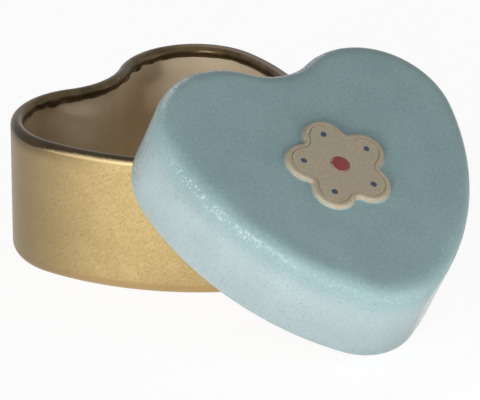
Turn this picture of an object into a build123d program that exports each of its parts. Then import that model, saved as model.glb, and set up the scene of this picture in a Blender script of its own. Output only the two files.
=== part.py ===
from build123d import *
import math
import os

# A small heart-shaped tin box for milk teeth: a drawn box with a rolled rim, and its slip-on lid,
# taken off and leaning on the rim with its tip on the table.
# Millimetres. The origin is the middle of the box's underside, Z is up and the box's tip points to -Y.

# The sheet that both pieces are drawn from, with its paint and lacquer
sheet = 0.3

# The heart that the box's wall follows, outside
box_width = 60.0
lobe_offset = 14.8
cleft_radius = 14.2
tip_radius = 12.4
tip_drop = 28.6
side_radius = 51.5

# The box
box_height = 27.6
box_corner_radius = 2.5
rim_radius = 1.3
rim_turn = 265.0

# The lid
lid_height = 18.0
lid_shoulder_radius = 2.7
hem_radius = 0.45
side_clearance = 0.3

# The flower pressed up out of the lid's top
petal_count = 5
petal_radius = 4.3
petal_ring_radius = 6.3
petal_notch_radius = 1.0
flower_shift = 1.3
flower_height = 0.9
flower_edge_radius = 0.5

# How the lid leans: its heading and the place of its tip's arc in plan, and the gap left at its seats
lid_heading = -19.0
tip_place_shares = (-0.155, -0.846)
seat_gap = 0.15
first_pitch = 36.0
first_roll = 3.5
lean_steps = 8
lean_nudge = 0.1

# Worked out from the sizes above
lobe_radius = box_width / 2 - lobe_offset
box_length = lobe_radius + tip_drop + tip_radius
rim_level = box_height - rim_radius
lid_growth = side_clearance + 2 * hem_radius
hem_growth = lid_growth - hem_radius


def third_corner(first, second, from_first, from_second):
    """The point at these distances from two others, on the left of the way from first to second."""
    way = second - first
    foot = (way.length**2 + from_first**2 - from_second**2) / (2 * way.length)
    rise = math.sqrt(from_first**2 - foot**2)
    ahead = way.normalized()
    return first + ahead * foot + Vector(-ahead.Y, ahead.X) * rise


def heading(start, end):
    """The direction from one point to another, in degrees from X."""
    return math.degrees(math.atan2(end.Y - start.Y, end.X - start.X))


# The centres of the heart's six arcs, with the middle of its length at zero
lobe_level = box_length / 2 - lobe_radius
right_lobe = Vector(lobe_offset, lobe_level)
left_lobe = Vector(-lobe_offset, lobe_level)
tip = Vector(0, lobe_level - tip_drop)
cleft = third_corner(left_lobe, right_lobe, lobe_radius + cleft_radius, lobe_radius + cleft_radius)
right_side = third_corner(tip, right_lobe, side_radius - tip_radius, side_radius - lobe_radius)
left_side = Vector(-right_side.X, right_side.Y)


def heart(grow):
    """Draws the heart in the line that is being built, this much outside the box's own outline."""
    side_start = heading(right_side, tip)
    side_end = heading(right_side, right_lobe)
    lobe_end = heading(right_lobe, cleft)
    side_turn = side_end - side_start
    lobe_turn = lobe_end - side_end
    arcs = (
        (right_lobe, lobe_radius + grow, side_end, lobe_turn),
        (cleft, cleft_radius - grow, lobe_end - 180, 2 * (90 - lobe_end)),
        (left_lobe, lobe_radius + grow, 180 - lobe_end, lobe_turn),
        (left_side, side_radius + grow, 180 - side_end, side_turn),
        (tip, tip_radius + grow, 180 - side_start, 2 * (90 + side_start)),
        (right_side, side_radius + grow, side_start, side_turn),
    )
    for centre, radius, start, turn in arcs:
        CenterArc(tuple(centre), radius, start, turn)


def rounded_block(plane, height, grow, corner_radius):
    """A heart-shaped block from a plane to this height above it, or below it, with its far edge rounded."""
    with BuildPart() as block:
        with BuildSketch(plane):
            with BuildLine():
                heart(grow)
            make_face()
        extrude(amount=height)
        far_face = block.faces().sort_by(Axis(plane.origin, plane.z_dir * height))[-1]
        fillet(far_face.edges(), corner_radius)
    return block.part


def heart_wire(plane, grow):
    """The heart as a closed wire on a plane."""
    with BuildLine(plane) as line:
        heart(grow)
    return line.wire()


def section_plane(path, up):
    """A plane across the start of a path, with its X pointing into the heart and its Y up."""
    ahead = path % 0
    return Plane(origin=path @ 0, x_dir=up.cross(ahead), z_dir=ahead)


def flower(grow):
    """Draws the flower in the line that is being built, this much outside its own outline."""
    step = 360 / petal_count
    reach = petal_radius + petal_notch_radius
    first_petal = Vector(0, petal_ring_radius)
    first_notch = third_corner(first_petal.rotate(Axis.Z, step), first_petal, reach, reach)
    half_turn = heading(first_petal, first_notch) - 90
    for turned in (petal * step for petal in range(petal_count)):
        petal_centre = first_petal.rotate(Axis.Z, turned) + Vector(0, flower_shift)
        notch_centre = first_notch.rotate(Axis.Z, turned) + Vector(0, flower_shift)
        petal_start = 90 + turned - half_turn
        notch_start = turned + half_turn - 90
        CenterArc(tuple(petal_centre), petal_radius + grow, petal_start, 2 * half_turn)
        CenterArc(tuple(notch_centre), petal_notch_radius - grow, notch_start, step - 2 * half_turn)


def leaning_plane(pitch, roll):
    """The lid's own frame when it leans this way, with its hem's lowest point on the table."""
    turned = Plane(Location((0, 0, 0), (lid_heading, pitch, roll), Intrinsic.ZXY))
    slope = math.sqrt(1 - turned.z_dir.Z**2)
    hem_tip = turned.from_local_coords(Vector(tip.X, tip.Y, hem_radius))
    place = Vector(
        tip_place_shares[0] * box_width,
        tip_place_shares[1] * box_length,
        hem_radius + slope * (tip_radius + hem_growth),
    )
    return Plane(origin=place - hem_tip, x_dir=turned.x_dir, z_dir=turned.z_dir)


def seat_misses(pitch, roll):
    """How much further than its seat the hem lies from the rim, and the wall below it, on the left and the right."""
    hem = heart_wire(leaning_plane(pitch, roll).offset(hem_radius), hem_growth)
    rim = heart_wire(Plane.XY.offset(rim_level), -rim_radius).edges()
    seat = rim_radius + hem_radius + seat_gap
    down = Vector(0, 0, -rim_level)
    left_wall = [Face.extrude(edge, down) for edge in rim if edge.center().X < 0]
    right_wall = [Face.extrude(edge, down) for edge in rim if edge.center().X > 0]
    left = min(hem.distance_to(face) for face in left_wall) - seat
    right = min(hem.distance_to(face) for face in right_wall) - seat
    return left, right


def settled_lean():
    """The pitch and roll that seat the hem on both halves of the rim, found by Newton's steps."""
    pitch, roll = first_pitch, first_roll
    for _ in range(lean_steps):
        left, right = seat_misses(pitch, roll)
        left_pitched, right_pitched = seat_misses(pitch + lean_nudge, roll)
        left_rolled, right_rolled = seat_misses(pitch, roll + lean_nudge)
        left_by_pitch = (left_pitched - left) / lean_nudge
        right_by_pitch = (right_pitched - right) / lean_nudge
        left_by_roll = (left_rolled - left) / lean_nudge
        right_by_roll = (right_rolled - right) / lean_nudge
        both = left_by_pitch * right_by_roll - left_by_roll * right_by_pitch
        pitch -= (left * right_by_roll - right * left_by_roll) / both
        roll -= (right * left_by_pitch - left * right_by_pitch) / both
    return pitch, roll


lid_plane = leaning_plane(*settled_lean())
lid_axis = Axis(lid_plane.origin, lid_plane.z_dir)

# The box: a drawn cup whose top edge is rolled inwards into a hollow rim
rim_plane = Plane.XY.offset(rim_level)
rim_path = heart_wire(rim_plane, -rim_radius)
box_outside = rounded_block(rim_plane, -rim_level, 0, box_corner_radius)
box_inside = rounded_block(rim_plane, sheet - rim_level, -sheet, box_corner_radius - sheet)
with BuildPart() as box_shell:
    add(box_outside)
    add(box_inside, mode=Mode.SUBTRACT)
    with BuildSketch(section_plane(rim_path, rim_plane.z_dir)):
        with BuildLine():
            outside = CenterArc((0, 0), rim_radius, 180, -rim_turn)
            inside = CenterArc((0, 0), rim_radius - sheet, 180, -rim_turn)
            Line(outside @ 0, inside @ 0)
            Line(outside @ 1, inside @ 1)
        make_face()
    sweep(path=rim_path)

# The lid: a drawn cap with a rounded shoulder, a hem rolled in along its open edge, and the pressed flower
hem_plane = lid_plane.offset(hem_radius)
hem_path = heart_wire(hem_plane, hem_growth)
lid_outside = rounded_block(hem_plane, lid_height - hem_radius, lid_growth, lid_shoulder_radius)
lid_inside_height = lid_height - hem_radius - sheet
lid_inside = rounded_block(hem_plane, lid_inside_height, lid_growth - sheet, lid_shoulder_radius - sheet)
with BuildPart() as lid_shell:
    add(lid_outside)
    add(lid_inside, mode=Mode.SUBTRACT)
    with BuildSketch(section_plane(hem_path, lid_plane.z_dir)):
        Circle(hem_radius)
    sweep(path=hem_path)
    with BuildSketch(lid_plane.offset(lid_height - sheet)):
        with BuildLine():
            flower(0)
        make_face()
    extrude(amount=sheet + flower_height)
    fillet(lid_shell.faces().sort_by(lid_axis)[-1].edges(), flower_edge_radius)
    with BuildSketch(lid_plane.offset(lid_height + flower_height - sheet)):
        with BuildLine():
            flower(-sheet)
        make_face()
    extrude(amount=-2 * flower_height, mode=Mode.SUBTRACT)

box_shell.part.label = "box_shell"
lid_shell.part.label = "lid_shell"

os.makedirs("parts", exist_ok=True)
export_step(box_shell.part, "parts/box_shell.step")
export_step(lid_shell.part, "parts/lid_shell.step")
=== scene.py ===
import math

import bmesh
import bpy
from mathutils import Matrix, Vector


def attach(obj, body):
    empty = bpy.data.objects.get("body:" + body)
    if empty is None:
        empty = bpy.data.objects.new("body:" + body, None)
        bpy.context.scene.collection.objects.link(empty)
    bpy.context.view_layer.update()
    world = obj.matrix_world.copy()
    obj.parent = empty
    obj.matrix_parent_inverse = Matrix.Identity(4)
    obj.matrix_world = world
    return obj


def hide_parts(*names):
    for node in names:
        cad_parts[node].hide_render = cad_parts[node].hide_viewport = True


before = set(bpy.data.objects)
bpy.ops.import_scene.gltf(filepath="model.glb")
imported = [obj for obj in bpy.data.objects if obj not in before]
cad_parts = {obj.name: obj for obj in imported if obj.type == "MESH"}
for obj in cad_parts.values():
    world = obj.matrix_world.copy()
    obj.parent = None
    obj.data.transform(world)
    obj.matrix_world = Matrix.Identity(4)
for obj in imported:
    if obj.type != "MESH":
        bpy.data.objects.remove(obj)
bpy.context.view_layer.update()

mm = 0.001

# The sizes that the sheet metal follows, as the CAD has them
sheet = 0.3 * mm
box_width = 60 * mm
lobe_offset = 14.8 * mm
cleft_radius = 14.2 * mm
tip_radius = 12.4 * mm
tip_drop = 28.6 * mm
side_radius = 51.5 * mm
box_height = 27.6 * mm
box_corner_radius = 2.5 * mm
rim_radius = 1.3 * mm
rim_turn = math.radians(265)
lid_height = 18 * mm
hem_radius = 0.45 * mm
side_clearance = 0.3 * mm
petal_count = 5
petal_radius = 4.3 * mm
petal_ring_radius = 6.3 * mm
petal_notch_radius = 1 * mm
flower_shift = 1.3 * mm
flower_height = 0.9 * mm
lid_origin = Vector((-4.81424, -34.42543, 14.37985)) * mm
lid_heading = math.radians(-19)
lid_pitch = math.radians(29.657849752)
lid_roll = math.radians(3.824357682)

# The lid's shoulder bends more slowly than the CAD's plain round: a superellipse, by its reach and power
lid_shoulder = 4 * mm
lid_shoulder_power = 2.7

# What the CAD leaves out or has plainer: the hem's roll, the flower's slope, its pressed line and its boss
hem_turn = math.radians(235)
foot_radius = 0.3 * mm
edge_radius = 0.42 * mm
flower_slope = math.radians(72)
line_inset = 1.15 * mm
line_width = 0.26 * mm
line_depth = 0.2 * mm
boss_radius = 1.9 * mm
boss_rise = 0.12 * mm

# Worked out from the sizes above
lobe_radius = box_width / 2 - lobe_offset
box_length = lobe_radius + tip_drop + tip_radius
rim_level = box_height - rim_radius
lid_growth = side_clearance + 2 * hem_radius
flower_level = lid_height + flower_height
lid_turn = (
    Matrix.Rotation(lid_heading, 3, "Z")
    @ Matrix.Rotation(lid_pitch, 3, "X")
    @ Matrix.Rotation(lid_roll, 3, "Y")
)

# How finely the meshes are made: the gap between points along a sweep, and the gap that is welded shut
heart_gap = 0.42 * mm
flower_gap = 0.3 * mm
boss_gap = 0.25 * mm
weld_gap = mm / 100
smooth_angle = math.radians(40)


# The camera, as the photograph was taken

camera_data = bpy.data.cameras.new("photo_camera")
camera_data.lens = 366.23
camera_tilt = math.radians(90 - 24.396)
camera_heading = math.radians(-48.23)
camera = bpy.data.objects.new("photo_camera", camera_data)
camera.location = Vector((-632.12, -576.71, 397.14)) * mm
camera.rotation_euler = (camera_tilt, 0, camera_heading)
bpy.context.collection.objects.link(camera)
bpy.context.scene.camera = camera
bpy.context.scene.view_settings.view_transform = "Standard"


# The heart and the flower, as arcs

def third_corner(first, second, from_first, from_second):
    """The point at these distances from two others, on the left of the way from first to second."""
    way = second - first
    foot = (way.length_squared + from_first**2 - from_second**2) / (2 * way.length)
    rise = math.sqrt(from_first**2 - foot**2)
    ahead = way.normalized()
    return first + ahead * foot + Vector((-ahead.y, ahead.x)) * rise


def heading(start, end):
    """The direction from one point to another, from X."""
    return math.atan2(end.y - start.y, end.x - start.x)


def turned(point, angle):
    """A point turned round the origin."""
    return Matrix.Rotation(angle, 2) @ point


# The centres of the heart's six arcs, with the middle of its length at zero
lobe_level = box_length / 2 - lobe_radius
right_lobe = Vector((lobe_offset, lobe_level))
left_lobe = Vector((-lobe_offset, lobe_level))
tip = Vector((0, lobe_level - tip_drop))
to_cleft = lobe_radius + cleft_radius
cleft = third_corner(left_lobe, right_lobe, to_cleft, to_cleft)
right_side = third_corner(tip, right_lobe, side_radius - tip_radius, side_radius - lobe_radius)
left_side = Vector((-right_side.x, right_side.y))

side_start = heading(right_side, tip)
side_end = heading(right_side, right_lobe)
lobe_end = heading(right_lobe, cleft)
half_cleft = lobe_end - math.pi / 2

# The arcs against the clock from the middle of the cleft: centre, radius, first direction and turn
heart_arcs = (
    (cleft, cleft_radius, -math.pi / 2, -half_cleft),
    (left_lobe, lobe_radius, math.pi - lobe_end, lobe_end - side_end),
    (left_side, side_radius, math.pi - side_end, side_end - side_start),
    (tip, tip_radius, math.pi - side_start, math.pi + 2 * side_start),
    (right_side, side_radius, side_start, side_end - side_start),
    (right_lobe, lobe_radius, side_end, lobe_end - side_end),
    (cleft, cleft_radius, half_cleft - math.pi / 2, -half_cleft),
)
heart_sweep = [(centre, radius, turn) for centre, radius, _, turn in heart_arcs]
heart_girth = sum(radius * abs(turn) for _, radius, turn in heart_sweep)
heart_start = cleft.y - cleft_radius

petal_step = math.tau / petal_count
petal_reach = petal_radius + petal_notch_radius
first_petal = Vector((0, petal_ring_radius))
first_notch = third_corner(turned(first_petal, petal_step), first_petal, petal_reach, petal_reach)
petal_half_turn = heading(first_petal, first_notch) - math.pi / 2
flower_middle = Vector((0, flower_shift))
flower_start = flower_shift + petal_ring_radius + petal_radius

# The flower's arcs against the clock from the middle of its first petal: centre, radius and turn
flower_arcs = [(first_petal + flower_middle, petal_radius, petal_half_turn)]
for petal in range(petal_count):
    notch_place = turned(first_notch, petal * petal_step) + flower_middle
    petal_place = turned(first_petal, (petal + 1) * petal_step) + flower_middle
    halves = 1 if petal == petal_count - 1 else 2
    flower_arcs.append((notch_place, petal_notch_radius, petal_step - 2 * petal_half_turn))
    flower_arcs.append((petal_place, petal_radius, petal_half_turn * halves))


def way_round(x, y):
    """How far along the heart's outline a place is, from the cleft's middle, and how far outside it."""
    nearest = None
    passed = 0
    for centre, radius, start, turn in heart_arcs:
        away = Vector((x, y)) - centre
        swing = math.atan2(away.y, away.x) - start
        swing -= math.tau * round((swing - turn / 2) / math.tau)
        share = min(1, max(0, swing / turn))
        direction = start + turn * share
        miss = (away - Vector((math.cos(direction), math.sin(direction))) * radius).length
        if nearest is None or miss < nearest[0]:
            out = (away.length - radius) * math.copysign(1, turn)
            nearest = (miss, passed + radius * abs(turn) * share, out)
        passed += radius * abs(turn)
    return nearest[1:]


def between(value, low, high):
    """Rises smoothly from 0 to 1 as a value goes from low to high."""
    share = min(1, max(0, (value - low) / (high - low)))
    return share * share * (3 - 2 * share)


# Sheet-metal work: a section is drawn point by point and swept round the arcs of an outline

def add_point(place):
    """Adds a small triangle, leaves one corner of it, selected, and moves that to its place."""
    bpy.ops.mesh.primitive_circle_add(vertices=3, radius=mm)
    if bpy.context.mode == "OBJECT":
        bpy.ops.object.mode_set(mode="EDIT")
        bpy.ops.mesh.select_mode(type="VERT")
    corner = Vector((0, mm, 0))
    at_corner = mm / 10
    mesh = bmesh.from_edit_mesh(bpy.context.object.data)
    for vert in [vert for vert in mesh.verts if vert.select]:
        vert.select = (vert.co - corner).length > at_corner
    mesh.select_flush_mode()
    bpy.ops.mesh.delete(type="VERT")
    mesh = bmesh.from_edit_mesh(bpy.context.object.data)
    for vert in mesh.verts:
        vert.select = not vert.link_edges and (vert.co - corner).length < at_corner
    mesh.select_flush_mode()
    bpy.ops.transform.translate(value=Vector(place) - corner)


def start_piece(name, place):
    """A new piece, so far one point of its section, left in edit mode."""
    bpy.ops.object.select_all(action="DESELECT")
    add_point(place)
    piece = bpy.context.object
    piece.name = piece.data.name = name
    return piece


def start_section(place):
    """Another section in the piece that is being made."""
    bpy.ops.mesh.select_all(action="DESELECT")
    add_point(place)


def draw_line(outwards, up, steps=1):
    """Draws the section straight on."""
    step = (0, outwards / steps, up / steps)
    for _ in range(steps):
        bpy.ops.mesh.extrude_region_move(TRANSFORM_OT_translate={"value": step})


def draw_shoulder(reach, power, steps):
    """Draws the section over a shoulder that bends slowly at both ends, by a superellipse."""
    last = (0, reach)
    for step in range(1, steps + 1):
        angle = math.pi / 2 * step / steps
        across = reach * math.sin(angle) ** (2 / power)
        up = reach * max(0, math.cos(angle)) ** (2 / power)
        draw_line(across - last[0], up - last[1])
        last = (across, up)


def draw_arc(centre, turn, steps):
    """Draws the section on round a centre, from outwards towards up where turn is above zero."""
    # With no window, spin goes against the right-hand rule
    bpy.ops.mesh.spin(steps=steps, angle=-turn, center=centre, axis=(1, 0, 0))


def sweep(arcs, gap):
    """Sweeps the drawn section round arcs of (centre, radius, turn), and joins its two ends."""
    bpy.ops.mesh.select_mode(type="EDGE")
    mesh = bmesh.from_edit_mesh(bpy.context.object.data)
    for edge in mesh.edges:
        edge.select = edge.is_wire
    mesh.select_flush_mode()
    for centre, radius, turn in arcs:
        steps = max(2, round(radius * abs(turn) / gap))
        bpy.ops.mesh.spin(steps=steps, angle=-turn, center=(centre.x, centre.y, 0), axis=(0, 0, 1))
    bpy.ops.mesh.select_all(action="SELECT")
    bpy.ops.mesh.remove_doubles(threshold=weld_gap)
    bpy.ops.mesh.select_mode(type="VERT")


def select_open_edges(low, high):
    """Selects the open edges between two heights."""
    bpy.ops.mesh.select_mode(type="EDGE")
    mesh = bmesh.from_edit_mesh(bpy.context.object.data)
    for edge in mesh.edges:
        edge.select = edge.is_boundary and all(low < vert.co.z < high for vert in edge.verts)
    mesh.select_flush_mode()


def face_outwards(probe):
    """Makes the faces agree, so that the one nearest to a probe outside the piece looks at it."""
    bpy.ops.mesh.select_all(action="SELECT")
    bpy.ops.mesh.normals_make_consistent(inside=False)
    mesh = bmesh.from_edit_mesh(bpy.context.object.data)
    near = min(mesh.faces, key=lambda face: (face.calc_center_median() - probe).length)
    if near.normal.dot(probe - near.calc_center_median()) < 0:
        bpy.ops.mesh.flip_normals()


def up_the_roll(out, height):
    """How far up the sheet a place is, over the roll too, from the underside of the box."""
    away = (out + rim_radius, height - rim_level)
    past_roll = math.hypot(*away) > 1.6 * rim_radius
    on_wall = height < rim_level and out > -rim_radius / 4
    if past_roll or on_wall:
        return height
    angle = math.atan2(away[1], away[0])
    return rim_level + rim_radius * (angle + math.tau if angle < -math.pi / 4 else angle)


def lay_wall_map(piece, places, up):
    """Gives the piece a map that runs along the heart's outline and up the sheet, in metres."""
    wall_map = piece.data.uv_layers.new(name="wall")
    heights = [up(out, vert.co.z) for (_, out), vert in zip(places, piece.data.vertices)]
    for face in piece.data.polygons:
        face_ways = [places[v][0] for v in face.vertices]
        across_start = max(face_ways) - min(face_ways) > heart_girth / 2
        for loop, vert, way in zip(face.loop_indices, face.vertices, face_ways):
            if across_start and way < heart_girth / 2:
                way += heart_girth
            wall_map.data[loop].uv = (way, heights[vert])


def crumple(piece, group, ripple, depth):
    """Pushes the skin in and out in ripples where a vertex group says."""
    clouds = bpy.data.textures.new(group, "CLOUDS")
    clouds.noise_scale = ripple
    clouds.noise_depth = 1
    crumpling = piece.modifiers.new(group, "DISPLACE")
    crumpling.texture = clouds
    crumpling.texture_coords = "LOCAL"
    crumpling.vertex_group = group
    crumpling.strength = depth


def turn_to_sheet(piece, inside_offset):
    """Thickens the outside skin to sheet metal, with its inside's finishes after those of its outside."""
    skin = piece.modifiers.new("sheet", "SOLIDIFY")
    skin.thickness = sheet
    skin.offset = -1
    skin.use_even_offset = True
    skin.material_offset = inside_offset
    for modifier in list(piece.modifiers):
        bpy.ops.object.modifier_apply(modifier=modifier.name)
    bpy.ops.object.shade_smooth_by_angle(angle=smooth_angle)


# Finishes: nodes are added by calls and by arithmetic

def colour(red, green, blue):
    """A colour as a screen shows it, from 0 to 255."""
    shares = [part / 255 for part in (red, green, blue)]
    linear = [part / 12.92 if part <= 0.04045 else ((part + 0.055) / 1.055) ** 2.4 for part in shares]
    return linear + [1]


def grey(level):
    """A grey that gives back this share of the light."""
    return (level, level, level, 1)


white = grey(1)


class Value:
    """An output of a node, so that arithmetic on it adds Math nodes."""

    def __init__(self, finish, socket):
        self.finish = finish
        self.socket = socket

    def __add__(self, other):
        return self.finish.maths("ADD", self, other)

    def __radd__(self, other):
        return self.finish.maths("ADD", other, self)

    def __sub__(self, other):
        return self.finish.maths("SUBTRACT", self, other)

    def __rsub__(self, other):
        return self.finish.maths("SUBTRACT", other, self)

    def __mul__(self, other):
        return self.finish.maths("MULTIPLY", self, other)

    def __rmul__(self, other):
        return self.finish.maths("MULTIPLY", other, self)


class Finish:
    """A material that is being mixed."""

    def __init__(self, name):
        self.material = bpy.data.materials.new(name)
        self.material.use_nodes = True
        self.tree = self.material.node_tree
        self.tree.nodes.clear()

    def node(self, kind, settings=None, sockets=None, output=0):
        """Adds a node with its settings, then the values or links of its sockets, and gives one output."""
        made = self.tree.nodes.new(kind)
        for name, setting in (settings or {}).items():
            setattr(made, name, setting)
        for name, value in (sockets or {}).items():
            if isinstance(value, Value):
                self.tree.links.new(value.socket, made.inputs[name])
            else:
                made.inputs[name].default_value = value
        return Value(self, made.outputs[output]) if made.outputs else None

    def maths(self, operation, first, second=0):
        return self.node("ShaderNodeMath", {"operation": operation}, {0: first, 1: second})

    def part(self, vector, axis):
        """One number of a vector: its X, Y or Z."""
        return self.node("ShaderNodeSeparateXYZ", sockets={"Vector": vector}, output=axis)

    def place(self):
        """Places in the shared frame."""
        return self.node("ShaderNodeTexCoord", output="Object")

    def lid_place(self):
        """Places on the lid as if it lay level, with its hem on the table."""
        spot = {"Vector": self.place(), "Location": lid_origin, "Rotation": lid_turn.to_euler()}
        return self.node("ShaderNodeMapping", {"vector_type": "TEXTURE"}, spot)

    def wall_map(self):
        return self.node("ShaderNodeUVMap", {"uv_map": "wall"})

    def way_share(self, wall):
        """How far round the heart a place is, from 0 to 1, against the clock from the cleft's middle."""
        return self.part(wall, "X") * (1 / heart_girth)

    def stretched(self, vector, angle, along, across):
        """A map whose first axis runs up at an angle, measured in grains along and across that."""
        spot = {"Vector": vector, "Rotation": (0, 0, -angle)}
        level = self.node("ShaderNodeMapping", {"vector_type": "POINT"}, spot)
        scale = {"Vector": level, "Scale": (1 / along, 1 / across, 1)}
        return self.node("ShaderNodeMapping", {"vector_type": "POINT"}, scale)

    def noise(self, vector, grain, detail=2, roughness=0.5, distortion=0):
        """Soft noise, from 0 to 1, with spots about as large as its grain."""
        sockets = {"Vector": vector, "Scale": 1 / grain, "Detail": detail, "Roughness": roughness}
        sockets["Distortion"] = distortion
        return self.node("ShaderNodeTexNoise", {"normalize": True}, sockets)

    def between(self, value, low, high, bottom=0, top=1):
        """Rises smoothly from bottom to top as a value goes from low to high."""
        sockets = {"Value": value, "From Min": low, "From Max": high, "To Min": bottom, "To Max": top}
        return self.node("ShaderNodeMapRange", {"interpolation_type": "SMOOTHSTEP"}, sockets)

    def band(self, value, start, full, fading, end):
        """Rises smoothly from 0 to 1, and then falls to 0 again."""
        return self.between(value, start, full) * self.between(value, end, fading)

    def specks(self, vector, spacing, radius, share):
        """Round specks of about this radius, on this share of scattered places."""
        cells = {"Vector": vector, "Scale": 1 / spacing}
        near = self.node("ShaderNodeTexVoronoi", {"feature": "F1"}, cells, "Distance")
        tint = self.node("ShaderNodeTexVoronoi", {"feature": "F1"}, cells, "Color")
        luck = self.node("ShaderNodeSeparateColor", sockets={"Color": tint}, output="Red")
        edge = radius / spacing
        return self.between(near, edge, edge / 2) * self.between(luck, share + 0.02, share)

    def mixed(self, factor, first, second):
        """Goes from the first colour to the second."""
        return self.node("ShaderNodeMix", {"data_type": "RGBA"}, {0: factor, 6: first, 7: second}, 2)

    def drifting(self, clouds, first, second):
        """Drifts between two colours with noise."""
        return self.mixed(self.between(clouds, 0.3, 0.7), first, second)

    def layered(self, base, layers):
        """Lays colours over a base, each where a pattern passes from one value to another."""
        for pattern, start, full, strength, tint in layers:
            base = self.mixed(self.between(pattern, start, full, top=strength), base, tint)
        return base

    def bump(self, height, depth, strength):
        sockets = {"Height": height, "Distance": depth, "Strength": strength}
        return self.node("ShaderNodeBump", sockets=sockets)

    def surface(self, sockets):
        shader = self.node("ShaderNodeBsdfPrincipled", sockets=sockets)
        self.node("ShaderNodeOutputMaterial", sockets={"Surface": shader})
        return self.material


def brushed_gold():
    """Gold lacquer on tin, brushed slantwise, with painted shade round the lobes and a warmer painted
    shade band at the bottom corner.
    """
    finish = Finish("brushed_gold")
    wall = finish.wall_map()
    place = finish.place()
    way = finish.way_share(wall)
    height = finish.part(place, "Z")

    slant = math.radians(36)
    hair_slant = slant + 0.15
    stroke_map = finish.stretched(wall, slant, along=2.6 * mm, across=0.25 * mm)
    hair_map = finish.stretched(wall, hair_slant, along=1.2 * mm, across=0.1 * mm)
    strokes = finish.noise(stroke_map, 1, detail=4, roughness=0.7, distortion=0.2)
    hairs = finish.noise(hair_map, 1, roughness=0.6)
    clouds = finish.noise(place, 7 * mm, detail=3, roughness=0.6)
    grain = finish.noise(place, 0.36 * mm, detail=3, roughness=0.75)
    gold = finish.layered(finish.drifting(clouds, colour(181, 157, 106), colour(190, 166, 114)), (
        (strokes, 0.5, 0.72, 0.38, colour(220, 198, 148)),
        (strokes, 0.48, 0.28, 0.34, colour(138, 114, 72)),
        (hairs, 0.56, 0.72, 0.45, colour(116, 92, 56)),
        (grain, 0.47, 0.27, 0.75, colour(132, 108, 68)),
        (grain, 0.55, 0.75, 0.55, colour(222, 200, 150)),
        # Painted shade: a warmer, darker band on the rounded bottom corner, where it mirrors the floor's
        # contact
        (height, 2.7 * mm, 2.2 * mm, 0.6, colour(184, 151, 102)),
    ))

    # Painted shade lies round both lobes, browner and greyer where the wall turns from the light and
    # darkest under the rim, and small pits lie all over
    lobe_shade = finish.between(way, 0.3, 0.18) + finish.between(way, 0.7, 0.82)
    gold = finish.mixed(lobe_shade * 0.8, gold, colour(126, 110, 86))
    pits = finish.specks(place, spacing=1.1 * mm, radius=0.15 * mm, share=0.35)
    gold = finish.mixed(pits * 0.55, gold, colour(92, 72, 44))
    ragged_height = height + (grain - 0.5) * (3 * mm)
    under_rim_shade = finish.between(ragged_height, rim_level - 2.6 * mm, rim_level)
    gold = finish.mixed(lobe_shade * under_rim_shade * 0.75, gold, colour(84, 68, 46))
    return finish.surface({
        "Base Color": gold,
        "Metallic": 0.8,
        "Roughness": finish.between(strokes, 0.2, 0.8, 0.34, 0.46),
        "Normal": finish.bump(strokes * 0.7 + hairs * 0.3, depth=0.02 * mm, strength=0.5),
    })


def rim_bronze_and_dark_reflection():
    """The rolled rim, where the gold goes over into dark bronze, partly the rim's own dark lacquer and
    partly a painted dark reflection.
    """
    finish = Finish("rim_bronze_and_dark_reflection")
    place = finish.place()
    wall = finish.wall_map()
    way = finish.way_share(wall)
    up_sheet = finish.part(wall, "Y")

    streak_map = finish.stretched(wall, 0, along=7 * mm, across=0.4 * mm)
    streaks = finish.noise(streak_map, 1, detail=3, roughness=0.6)
    patches = finish.noise(place, 5 * mm, detail=3, roughness=0.6)
    bronze = finish.layered(finish.drifting(patches, colour(63, 52, 35), colour(86, 72, 49)), (
        (streaks, 0.52, 0.8, 0.6, colour(128, 113, 76)),
    ))
    # Painted glints: small pale specks scattered over the rim
    glint_specks = finish.specks(place, spacing=2.6 * mm, radius=0.16 * mm, share=0.25)
    bronze = finish.mixed(glint_specks * 0.8, bronze, colour(206, 198, 186))

    # A pale highlight is painted along the roll's top except beside the cleft, and a painted dark
    # reflection lies on the outside of the roll's left side
    top_highlight = finish.band(
        up_sheet, rim_level + 2 * mm, rim_level + 2.4 * mm, rim_level + 2.6 * mm, rim_level + 3 * mm
    )
    top_highlight = top_highlight * finish.band(way, 0.1, 0.18, 0.82, 0.9)
    bronze = finish.mixed(top_highlight * 0.5, bronze, colour(146, 130, 118))
    # A painted dark reflection on the roll's outside, along its left side
    dark_reflection = finish.band(way, 0.12, 0.17, 0.28, 0.36)
    dark_reflection = dark_reflection * finish.between(up_sheet, rim_level + 2.3 * mm, rim_level + 1.8 * mm)
    bronze = finish.mixed(dark_reflection * 0.6, bronze, colour(34, 27, 18))

    # The wall's gold laps up over the foot of the roll, more so at the front, and ends raggedly
    lap = finish.band(way, 0.19, 0.27, 0.8, 0.95) * (1.05 * mm) - 0.5 * mm
    grain = finish.noise(place, 0.5 * mm, detail=3, roughness=0.65)
    ragged = (patches - 0.5) * (0.4 * mm) + (grain - 0.5) * (0.6 * mm)
    past_lap = up_sheet + ragged - lap
    gold_show = finish.between(past_lap, rim_level + 0.6 * mm, rim_level - 0.2 * mm)
    bronze = finish.mixed(gold_show, bronze, colour(186, 165, 122))
    return finish.surface({
        "Base Color": bronze,
        "Metallic": 0.8,
        "Roughness": finish.between(gold_show, 0.1, 0.6, 0.34, 0.48),
        "Normal": finish.bump(finish.noise(place, 0.8 * mm), depth=0.1 * mm, strength=0.4),
    })


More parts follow.
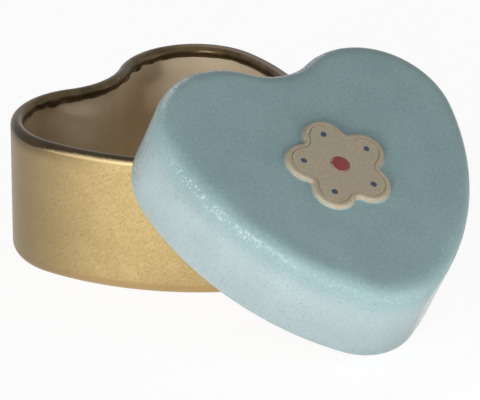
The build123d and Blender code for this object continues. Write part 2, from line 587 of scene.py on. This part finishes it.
def inside_lacquer(name):
    """Clear brownish lacquer on the inside of the tin."""
    finish = Finish(name)
    place = finish.place()
    clouds = finish.noise(place, 12 * mm, detail=3)
    grain = finish.noise(place, 0.5 * mm, roughness=0.6)
    lacquer = finish.layered(finish.drifting(clouds, colour(214, 197, 168), colour(226, 210, 182)), (
        (grain, 0.45, 0.25, 0.3, colour(184, 166, 136)),
    ))
    return finish.surface({
        "Base Color": lacquer,
        "Metallic": 0.25,
        "Roughness": finish.between(clouds, 0.3, 0.7, 0.36, 0.44),
        "Normal": finish.bump(grain, depth=0.02 * mm, strength=0.3),
    })


def blue_enamel():
    """Grey-blue enamel with an orange-peel skin, painted paler down the lid's wall as lit and darker on
    top as shaded, with painted highlight flecks and a pale broken line on its shoulder.
    """
    finish = Finish("blue_enamel")
    place = finish.lid_place()
    height = finish.part(place, "Z")
    wall = finish.wall_map()
    way = finish.way_share(wall)

    clouds = finish.noise(place, 8 * mm, detail=3)
    mottle = finish.noise(place, 0.6 * mm, detail=3, roughness=0.6)
    # Painted light: a darker, shaded blue on the top and a paler, lit blue down the wall
    down_wall = finish.between(height, lid_height - 1.5 * mm, lid_height - 8 * mm)
    shaded_top_blue = finish.drifting(clouds, colour(131, 156, 158), colour(137, 162, 164))
    lit_wall_blue = finish.drifting(clouds, colour(158, 173, 175), colour(165, 180, 182))
    blue = finish.layered(finish.mixed(down_wall, shaded_top_blue, lit_wall_blue), (
        (mottle, 0.5, 0.78, 0.4, colour(164, 186, 182)),
        (mottle, 0.5, 0.22, 0.35, colour(102, 128, 131)),
    ))
    light_specks = finish.specks(place, spacing=1.1 * mm, radius=0.16 * mm, share=0.3)
    blue = finish.mixed(light_specks * 0.45, blue, colour(196, 212, 206))

    # Painted highlight: small pale flecks lie low on the shoulder, most of them along the left side
    on_shoulder = finish.band(
        height, lid_height - 3.4 * mm, lid_height - 2.2 * mm, lid_height - 1.4 * mm, lid_height - 0.7 * mm
    )
    left_side = finish.between(way, 0.2, 0.25) * finish.between(way, 0.39, 0.31, bottom=0.3)
    peel = finish.between(finish.noise(place, 0.55 * mm, detail=3, roughness=0.65), 0.5, 0.62)
    highlight_flecks = on_shoulder * peel * left_side * finish.between(finish.noise(place, 5 * mm), 0.3, 0.5)
    blue = finish.mixed(highlight_flecks * 0.4, blue, colour(222, 232, 234))

    # A broken pale line runs along the top of the shoulder, round both lobes
    off_edge = finish.maths("ABSOLUTE", height - (lid_height - 0.9 * mm))
    pale_edge_line = finish.between(off_edge + (mottle - 0.5) * (0.8 * mm), 0.65 * mm, 0.15 * mm)
    lobes = finish.between(way, 0.19, 0.11) + finish.between(way, 0.8, 0.96)
    breaks = finish.noise(place, 0.7 * mm, detail=3, roughness=0.6)
    broken = finish.between(breaks, 0.4, 0.56, bottom=0.15, top=0.85)
    blue = finish.mixed(pale_edge_line * lobes * broken, blue, colour(224, 231, 231))

    # Dark specks lie on the wall, more of them towards the hem, and they crowd at its left end
    left_end = finish.band(way, 0.02, 0.15, 0.168, 0.21)
    near_hem = finish.between(height, 12 * mm, 0.5 * mm, bottom=0.35, top=0.9)
    dark_places = finish.between(finish.noise(place, 6 * mm), 0.4, 0.66)
    marks = finish.specks(place, spacing=1 * mm, radius=0.2 * mm, share=0.35)
    marks = marks * near_hem * dark_places
    crowd = finish.specks(place, spacing=0.5 * mm, radius=0.23 * mm, share=0.85)
    crowd = crowd * left_end * finish.between(height, 16 * mm, 9 * mm, bottom=0.2)
    blue = finish.mixed((marks + crowd) * down_wall * 0.8, blue, colour(66, 84, 80))

    # Short scratches run along the wall, most of them under the left lobe's shoulder
    beside_shoulder = finish.band(height, 9.5 * mm, 11 * mm, 12.5 * mm, 13.5 * mm)
    beside_shoulder = beside_shoulder * finish.between(way, 0.3, 0.24)
    scratch_map = finish.stretched(wall, math.radians(-8), along=1.8 * mm, across=0.7 * mm)
    scratches = finish.specks(scratch_map, spacing=1, radius=0.26, share=0.6)
    scratched = scratches * (beside_shoulder * 0.5 + down_wall * dark_places * 0.3)
    blue = finish.mixed(scratched, blue, colour(96, 114, 112))

    # It shines where it turns away from the eye
    turned_away = finish.node("ShaderNodeLayerWeight", sockets={"Blend": 0.5}, output="Facing")
    edge_gloss = finish.between(turned_away, 0.76, 0.98)
    orange_peel = finish.noise(place, 0.75 * mm)
    return finish.surface({
        "Base Color": blue,
        "Roughness": finish.between(mottle, 0.3, 0.7, 0.44, 0.56),
        "Specular IOR Level": 0.3,
        "Coat Weight": highlight_flecks * 0.4 + peel * 0.12 + edge_gloss * 0.7,
        "Coat Roughness": 0.16,
        "Normal": finish.bump(orange_peel, depth=0.12 * mm, strength=0.4),
    })


def flower_enamel():
    """Cream enamel on the pressed flower, with a red middle and a blue dot on each petal."""
    finish = Finish("flower_enamel")
    place = finish.lid_place()
    mottle = finish.noise(place, 0.5 * mm, detail=3, roughness=0.6)
    enamel = finish.drifting(mottle, colour(156, 144, 122), colour(168, 156, 134))
    ragged = (finish.noise(place, 0.7 * mm) - 0.5) * (0.35 * mm)
    soft_edge = 0.06 * mm
    first_dot = Vector((0, 7.2 * mm))

    def dot(middle, radius):
        ends = {0: place, 1: (middle.x, middle.y, flower_level)}
        away = finish.node("ShaderNodeVectorMath", {"operation": "DISTANCE"}, ends, "Value")
        return finish.between(away + ragged, radius + soft_edge, radius - soft_edge)

    for petal in range(petal_count):
        petal_dot = dot(flower_middle + turned(first_dot, petal * petal_step), 0.6 * mm)
        enamel = finish.mixed(petal_dot, enamel, colour(26, 54, 78))
    enamel = finish.mixed(dot(flower_middle, 1.7 * mm), enamel, colour(124, 42, 40))
    return finish.surface({
        "Base Color": enamel,
        "Roughness": finish.between(mottle, 0.3, 0.7, 0.42, 0.54),
        "Normal": finish.bump(finish.noise(place, 0.7 * mm), depth=0.08 * mm, strength=0.4),
    })


# The box: its outside is drawn from under the floor up to the end of the roll

floor_ring = 2 * mm
box = start_piece("box_visible", (0, heart_start - box_corner_radius - floor_ring, 0))
draw_line(floor_ring, 0, steps=2)
draw_arc((0, heart_start - box_corner_radius, box_corner_radius), math.pi / 2, steps=10)
draw_line(0, rim_level - box_corner_radius, steps=12)
draw_arc((0, heart_start - rim_radius, rim_level), rim_turn, steps=36)
sweep(heart_sweep, heart_gap)
select_open_edges(-mm, mm)
bpy.ops.mesh.edge_face_add()
under_box = Vector((0, 0, -10 * mm))
face_outwards(under_box)
bpy.ops.object.mode_set(mode="OBJECT")

# The roll's cut edge is crumpled, most of all round the left lobe and beside the cleft
most_crumpled_shares = (0.085, 0.94)
crumple_spread_share = 0.045
least_crumple = 0.12
crumple_start_angle = 2.4
crumple_full_angle = 4.2
places = [way_round(vert.co.x, vert.co.y) for vert in box.data.vertices]
roll_angles = [
    (up_the_roll(out, vert.co.z) - rim_level) / rim_radius
    for (_, out), vert in zip(places, box.data.vertices)
]
roll_edge = box.vertex_groups.new(name="roll_edge")
for vert, ((way, _), angle) in enumerate(zip(places, roll_angles)):
    misses = [(way / heart_girth - share) / crumple_spread_share for share in most_crumpled_shares]
    bends = min(1, least_crumple + sum(math.exp(-miss**2) for miss in misses))
    weight = between(angle, crumple_start_angle, crumple_full_angle) * bends
    roll_edge.add([vert], weight, "REPLACE")
lay_wall_map(box, places, up_the_roll)
crumple(box, "roll_edge", ripple=2.8 * mm, depth=1.9 * mm)

# The rim's finish begins where the roll does
box_gold = brushed_gold()
box_rim = rim_bronze_and_dark_reflection()
for material in (box_gold, box_rim, inside_lacquer("box_inside_lacquer"), box_rim):
    box.data.materials.append(material)
nearly_zero_angle = -0.01
for face in box.data.polygons:
    on_roll = min(roll_angles[vert] for vert in face.vertices) > nearly_zero_angle
    face.material_index = 1 if on_roll else 0
turn_to_sheet(box, 2)
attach(box, "box")
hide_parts("box_shell")


# The lid: its outside is drawn from the flat top over the shoulder and down to the rolled hem

top_ring = 8 * mm
lid = start_piece("lid_visible", (0, heart_start - top_ring, lid_height))
draw_line(top_ring + lid_growth - lid_shoulder, 0, steps=6)
draw_shoulder(lid_shoulder, lid_shoulder_power, steps=24)
draw_line(0, hem_radius - lid_height + lid_shoulder, steps=12)
draw_arc((0, heart_start + lid_growth - hem_radius, hem_radius), -hem_turn, steps=16)
sweep(heart_sweep, heart_gap)

# The pressed flower, drawn from the flat top round its foot, up its slope and over its edge
both_radii = foot_radius + edge_radius
slope_rise = flower_height - both_radii * (1 - math.cos(flower_slope))
slope_run = slope_rise / math.tan(flower_slope)
flower_foot = flower_start + foot_radius
edge_place = flower_foot - both_radii * math.sin(flower_slope) - slope_run
line_edge = flower_start - line_inset + line_width / 2
start_section((0, flower_foot + foot_radius, lid_height))
draw_line(-foot_radius, 0, steps=2)
draw_arc((0, flower_foot, lid_height + foot_radius), -flower_slope, steps=5)
draw_line(-slope_run, slope_rise, steps=2)
draw_arc((0, edge_place, flower_level - edge_radius), flower_slope, steps=7)
draw_line(line_edge - edge_place, 0)
draw_line(-line_width / 2, -line_depth)
draw_line(-line_width / 2, line_depth)
draw_line(-line_width, 0)
sweep(flower_arcs, flower_gap)

# The flower's middle, a low boss with a line round it
start_section((0, flower_shift + boss_radius + line_width, flower_level))
draw_line(-line_width / 2, 0)
draw_line(-line_width / 2, -line_depth)
draw_line(-line_width / 2, line_depth)
draw_line(-line_width, boss_rise / 2)
draw_line(line_width * 1.5 - boss_radius, boss_rise / 2, steps=3)
sweep([(flower_middle, boss_radius, math.tau)], boss_gap)

# The flat rings that are still open, on the top and on the flower, are filled
level_play = mm / 20
for level in (lid_height, flower_level):
    select_open_edges(level - level_play, level + level_play)
    bpy.ops.mesh.fill(use_beauty=True)
over_lid = Vector((0, 0, 40 * mm))
face_outwards(over_lid)
bpy.ops.object.mode_set(mode="OBJECT")

# The hem's cut edge, inside the lid, is a little uneven
places = [way_round(vert.co.x, vert.co.y) for vert in lid.data.vertices]
hem_edge = lid.vertex_groups.new(name="hem_edge")
for vert, (_, out) in zip(lid.data.vertices, places):
    if vert.co.z < 2.5 * hem_radius and out < lid_growth - hem_radius:
        hem_edge.add([vert.index], between(vert.co.z, hem_radius, 2 * hem_radius), "REPLACE")
crumple(lid, "hem_edge", ripple=3 * mm, depth=0.15 * mm)

lid_inside = inside_lacquer("lid_inside_lacquer")
for material in (blue_enamel(), flower_enamel(), lid_inside, lid_inside):
    lid.data.materials.append(material)
for face in lid.data.polygons:
    face.material_index = 1 if face.center.z > lid_height + foot_radius / 2 else 0
lay_wall_map(lid, places, lambda out, height: height)
turn_to_sheet(lid, 2)

# The lid is finished level, and then laid where it leans
lid.matrix_world = Matrix.Translation(lid_origin) @ lid_turn.to_4x4()
bpy.ops.object.transform_apply(location=True, rotation=True, scale=False)
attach(lid, "lid")
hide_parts("lid_shell")


# The studio: a white floor and backdrop, and soft light from both sides of the camera

class Studio(Finish):
    """The world's light, mixed in the same way."""

    def __init__(self, world):
        world.use_nodes = True
        self.tree = world.node_tree
        self.tree.nodes.clear()


def seen_or_mirrored(finish):
    """1 where the camera sees a thing, straight or in metal or glass."""
    camera_ray, glossy_ray, clear_ray = (
        finish.node("ShaderNodeLightPath", output=ray)
        for ray in ("Is Camera Ray", "Is Glossy Ray", "Is Transmission Ray")
    )
    return finish.maths("MAXIMUM", finish.maths("MAXIMUM", camera_ray, glossy_ray), clear_ray)


def glowing(finish, bounce, glow):
    """A matt surface that gives back a share of the light, and glows white as well."""
    matt = finish.node("ShaderNodeBsdfDiffuse", sockets={"Color": grey(bounce)})
    light = finish.node("ShaderNodeEmission", sockets={"Color": white, "Strength": glow})
    return finish.node("ShaderNodeAddShader", sockets={0: matt, 1: light})


floor_size = 4
floor_drop = 0.05 * mm
bpy.ops.mesh.primitive_plane_add(size=floor_size, location=(0, 0, -floor_drop))
studio_floor = bpy.context.object
studio_floor.name = "studio_floor"
floor_finish = Finish("floor_white")
floor_mix = {
    0: seen_or_mirrored(floor_finish),
    1: glowing(floor_finish, bounce=0.85, glow=0.3),
    2: glowing(floor_finish, bounce=0.12, glow=0.92),
}
floor_surface = floor_finish.node("ShaderNodeMixShader", sockets=floor_mix)
floor_finish.node("ShaderNodeOutputMaterial", sockets={"Surface": floor_surface})
studio_floor.data.materials.append(floor_finish.material)

# The room's light comes from a grey that darkens upwards, and the camera sees white
world = bpy.data.worlds.new("studio")
bpy.context.scene.world = world
studio = Studio(world)
up = studio.part(studio.node("ShaderNodeTexCoord", output="Generated"), "Z")
room = studio.mixed(studio.between(up, 0.1, 0.7), grey(0.45), grey(0.2))
room_mix = {
    0: seen_or_mirrored(studio),
    1: studio.node("ShaderNodeBackground", sockets={"Color": room}),
    2: studio.node("ShaderNodeBackground", sockets={"Color": white}),
}
room_surface = studio.node("ShaderNodeMixShader", sockets=room_mix)
studio.node("ShaderNodeOutputWorld", sockets={"Surface": room_surface})


def soft_light(name, kind, place, aim, power, mirrored=True):
    """A light that isn't seen itself, and leaves a highlight on gloss only where mirrored says so."""
    lamp_data = bpy.data.lights.new(name, kind)
    lamp_data.energy = power
    lamp = bpy.data.objects.new(name, lamp_data)
    lamp.location = place
    lamp.rotation_euler = (aim - lamp.location).to_track_quat("-Z", "Y").to_euler()
    lamp.visible_camera = False
    lamp.visible_glossy = mirrored
    bpy.context.collection.objects.link(lamp)
    return lamp_data


def soft_spot(name, place, aim, power, cone, blend, mirrored=True):
    """A soft light that falls in a round patch, with its cone in degrees."""
    spot = soft_light(name, "SPOT", place, aim, power, mirrored)
    spot.spot_size = math.radians(cone)
    spot.spot_blend = blend
    spot.shadow_soft_size = 0.02


tin_middle = Vector((0, -0.02, 0.02))
left_place = Vector((-0.74, -0.27, 0.065))
right_place = Vector((0.28, -0.74, 0.06))
high_place = Vector((-0.6, -0.15, 0.42))
left_light = soft_light("left_soft_light", "AREA", left_place, tin_middle, 2.9)
left_light.shape = "RECTANGLE"
left_light.size = 0.3
left_light.size_y = 0.12
right_light = soft_light("right_soft_light", "AREA", right_place, tin_middle, 1.75)
right_light.size = 0.4
high_light = soft_light("high_soft_light", "AREA", high_place, tin_middle, 0.95, mirrored=False)
high_light.size = 0.2

# A narrow light falls over the left side of the rim on the far wall inside
inside_place = Vector((-0.44, -0.106, 0.152))
far_wall = Vector((27, 19, 23)) * mm
soft_spot("inside_light", inside_place, far_wall, 6.5, cone=5, blend=1, mirrored=False)

# Two lights fall on the floor in front of the tin, which throws them up under the lid's leaning wall
above = Vector((0, 0, 0.4))
for name, aim in (
    ("floor_left_light", Vector((-0.12, -0.115, 0))),
    ("floor_right_light", Vector((-0.02, -0.165, 0))),
):
    soft_spot(name, aim + above, aim, 30, cone=22, blend=0.6)
